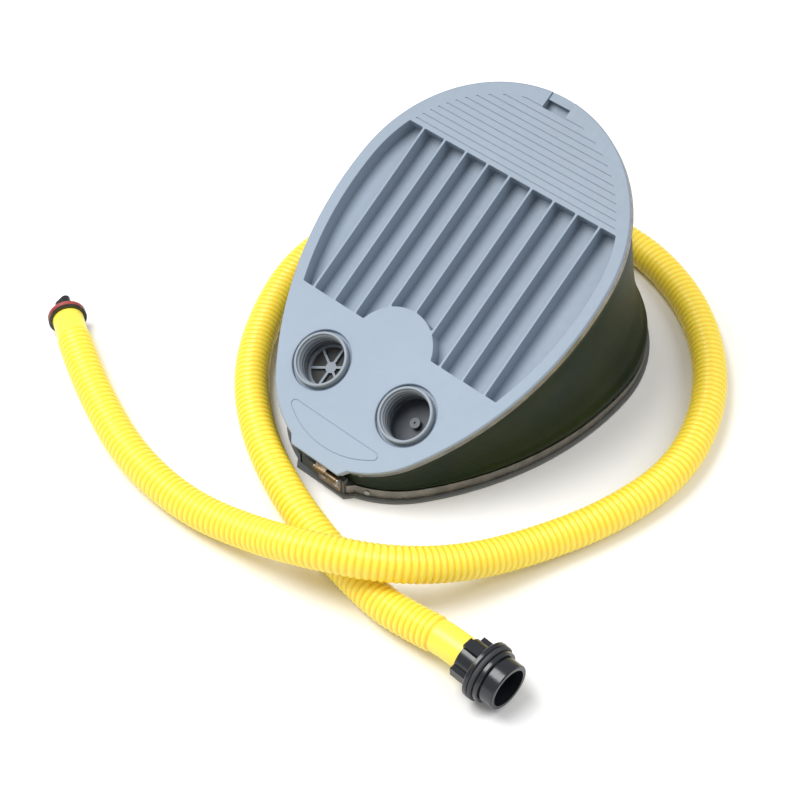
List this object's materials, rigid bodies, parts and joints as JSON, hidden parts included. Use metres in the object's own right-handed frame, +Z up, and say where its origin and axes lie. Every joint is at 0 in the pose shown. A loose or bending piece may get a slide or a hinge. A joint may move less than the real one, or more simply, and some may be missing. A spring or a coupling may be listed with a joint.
{
  "type": "bellows foot air pump",
  "caption": "Foot pump: egg-shaped ribbed footboard hinged on a base over fabric bellows, with flap valves, threaded ports and a loose corrugated hose.",
  "frame": {"origin": "on the ground, under the middle of the pump's own length and width as it stands open; the loose hose is not counted", "axes": "+X is the pump's right seen from behind the hinge looking to the heel, the outlet port's side; +Y runs from the hinge to the wide heel end; +Z is up"},
  "size_m": [0.4557, 0.4188, 0.1817],
  "materials": {
    "board_plastic": "fine matte",
    "port_plastic": "satin",
    "band": "satin bronze",
    "fabric": "coated weave",
    "hinge_brass": "rolled, bright",
    "steel": "plain",
    "latch_plastic": "matte",
    "flap_rubber": "smooth",
    "hose_plastic": "satin, see-through at the ridges",
    "fitting_plastic": "gloss",
    "gasket_rubber": "matte",
    "o_ring_rubber": "matte"
  },
  "bodies": {
    "base": {"base_plate": "board_plastic", "base_clamp_band": "band", "base_band_rivets": "steel", "hinge_leaf_base": "hinge_brass", "hinge_screws_base": "steel", "hinge_pin": "steel", "bellows": "fabric", "spring": "steel", "latch_pin": "steel", "hose": "hose_plastic", "pump_end_connector": "fitting_plastic", "pump_end_gasket": "gasket_rubber", "valve_end_adaptor": "fitting_plastic", "valve_end_o_ring": "o_ring_rubber"},
    "footboard": {"footboard": "board_plastic", "top_clamp_band": "band", "top_band_rivets": "steel", "hinge_leaf_top": "hinge_brass", "hinge_screws_top": "steel", "intake_port": "port_plastic", "outlet_port": "port_plastic", "intake_spider": "port_plastic", "intake_flap_pin": "port_plastic", "outlet_seat": "port_plastic", "outlet_flap_pin": "port_plastic"},
    "latch": {"latch_hook": "latch_plastic"},
    "intake_flap": {"intake_flap": "flap_rubber"},
    "outlet_flap": {"outlet_flap": "flap_rubber"}
  },
  "joints": [
    {"name": "fold", "type": "hinge", "parent": "base", "child": "footboard", "pos_m": [0, -0.15113, 0.0177], "axis": [-1, 0, 0], "range_deg": [0, 27], "stiffness_Nm_per_rad": 15, "springref_deg": -18.91, "deforming": ["bellows", "spring"]},
    {"name": "latch_swing", "type": "hinge", "parent": "base", "child": "latch", "pos_m": [0, 0.14436, 0.0064], "axis": [1, 0, 0], "range_deg": [0, 10]},
    {"name": "intake_flap_drop", "type": "slide", "parent": "footboard", "child": "intake_flap", "axis": [0, 0.5299, -0.848], "range_m": [0, 0.0035], "stiffness_N_per_m": 20, "springref_m": -0.002},
    {"name": "outlet_flap_lift", "type": "slide", "parent": "footboard", "child": "outlet_flap", "axis": [0, -0.5299, 0.848], "range_m": [0, 0.0022], "stiffness_N_per_m": 20, "springref_m": -0.002}
  ]
}
